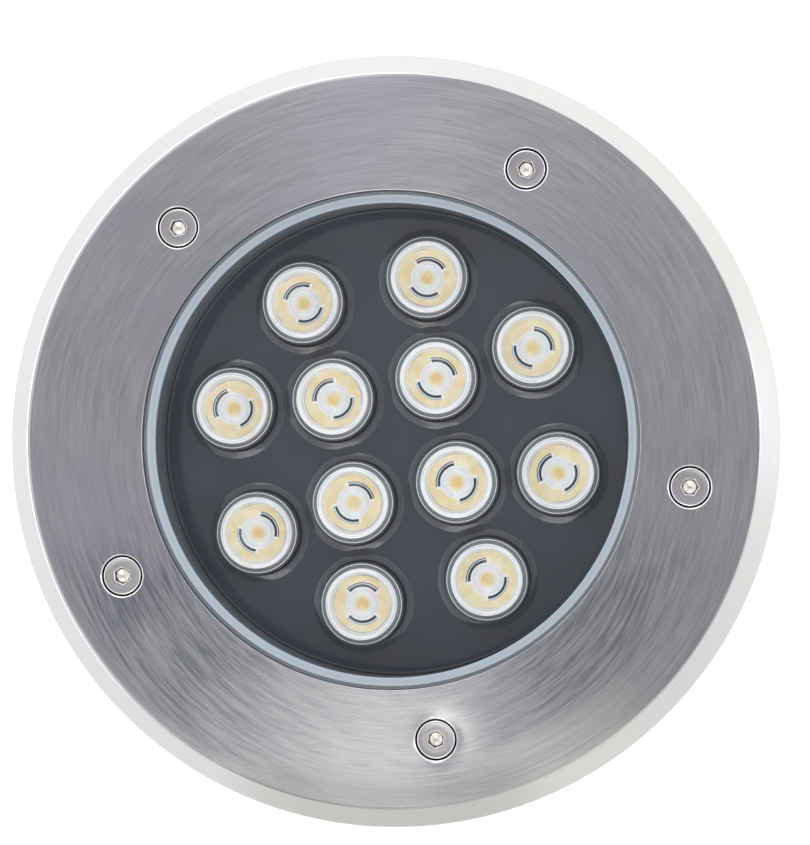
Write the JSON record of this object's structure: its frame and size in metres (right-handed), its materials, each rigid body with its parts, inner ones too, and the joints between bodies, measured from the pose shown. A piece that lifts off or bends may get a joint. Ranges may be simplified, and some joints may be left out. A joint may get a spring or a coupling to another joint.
{
  "type": "in-ground well light",
  "caption": "Round recessed ground lamp with a brushed steel face ring, thick glass and lensed emitters, lifting out of a drained plastic ground sleeve.",
  "frame": {"origin": "centre of the ground sleeve's underside, on the ground that it stands on", "axes": "+Z up along the lamp's axis, out through the glass; +X to the right and +Y up for someone looking down on the face, with the sleeve's two side entries along X"},
  "size_m": [0.18, 0.18, 0.1375],
  "materials": {
    "sleeve_plastic": "moulded, fine grain, slightly dull",
    "cast_aluminium": "die-cast, black powder coat",
    "brushed_stainless": "brushed in circles",
    "screw_stainless": "machined",
    "clear_glass": "clear, tempered, ground edge",
    "pale_silicone": "translucent, smooth",
    "gloss_black": "high gloss",
    "lens_acrylic": "clear, polished",
    "holder_black": "moulded, glossy",
    "emitter_white": "white body with a clear dome over the phosphor",
    "board_white": "white solder mask",
    "pad_grey": "soft, matt",
    "plain_aluminium": "turned",
    "small_screw": "zinc plated",
    "driver_plastic": "moulded, matt",
    "circuit_green": "solder mask",
    "winding_tape": "polyester tape",
    "capacitor_can": "shrink sleeve",
    "lead_red": "smooth insulation",
    "gland_nylon": "moulded",
    "black_rubber": "matt"
  },
  "bodies": {
    "sleeve": {"sleeve": "sleeve_plastic"},
    "lamp": {"housing": "cast_aluminium", "bezel_ring": "brushed_stainless", "bezel_screws": "screw_stainless", "front_glass": "clear_glass", "glass_gasket": "pale_silicone", "lens_plate": "gloss_black", "led_board": "board_white", "thermal_pad": "pad_grey", "board_screws": "small_screw", "heat_spreader": "plain_aluminium", "spreader_screws": "small_screw", "driver_case": "driver_plastic", "driver_board": "circuit_green", "driver_transformer": "winding_tape", "driver_capacitor": "capacitor_can", "driver_screws": "small_screw", "led_leads": "lead_red", "gland_body": "gland_nylon", "gland_washer": "black_rubber", "gland_locknut": "gland_nylon", "gland_seal": "black_rubber", "gland_cap": "gland_nylon", "lens_01": "lens_acrylic", "lens_holder_01": "holder_black", "led_01": "emitter_white", "lens_02": "lens_acrylic", "lens_holder_02": "holder_black", "led_02": "emitter_white", "lens_03": "lens_acrylic", "lens_holder_03": "holder_black", "led_03": "emitter_white", "lens_04": "lens_acrylic", "lens_holder_04": "holder_black", "led_04": "emitter_white", "lens_05": "lens_acrylic", "lens_holder_05": "holder_black", "led_05": "emitter_white", "lens_06": "lens_acrylic", "lens_holder_06": "holder_black", "led_06": "emitter_white", "lens_07": "lens_acrylic", "lens_holder_07": "holder_black", "led_07": "emitter_white", "lens_08": "lens_acrylic", "lens_holder_08": "holder_black", "led_08": "emitter_white", "lens_09": "lens_acrylic", "lens_holder_09": "holder_black", "led_09": "emitter_white", "lens_10": "lens_acrylic", "lens_holder_10": "holder_black", "led_10": "emitter_white", "lens_11": "lens_acrylic", "lens_holder_11": "holder_black", "led_11": "emitter_white", "lens_12": "lens_acrylic", "lens_holder_12": "holder_black", "led_12": "emitter_white"}
  },
  "joints": [
    {"name": "lamp_lift", "type": "slide", "parent": "sleeve", "child": "lamp", "axis": [0, 0, 1], "range_m": [0, 0.12]}
  ]
}
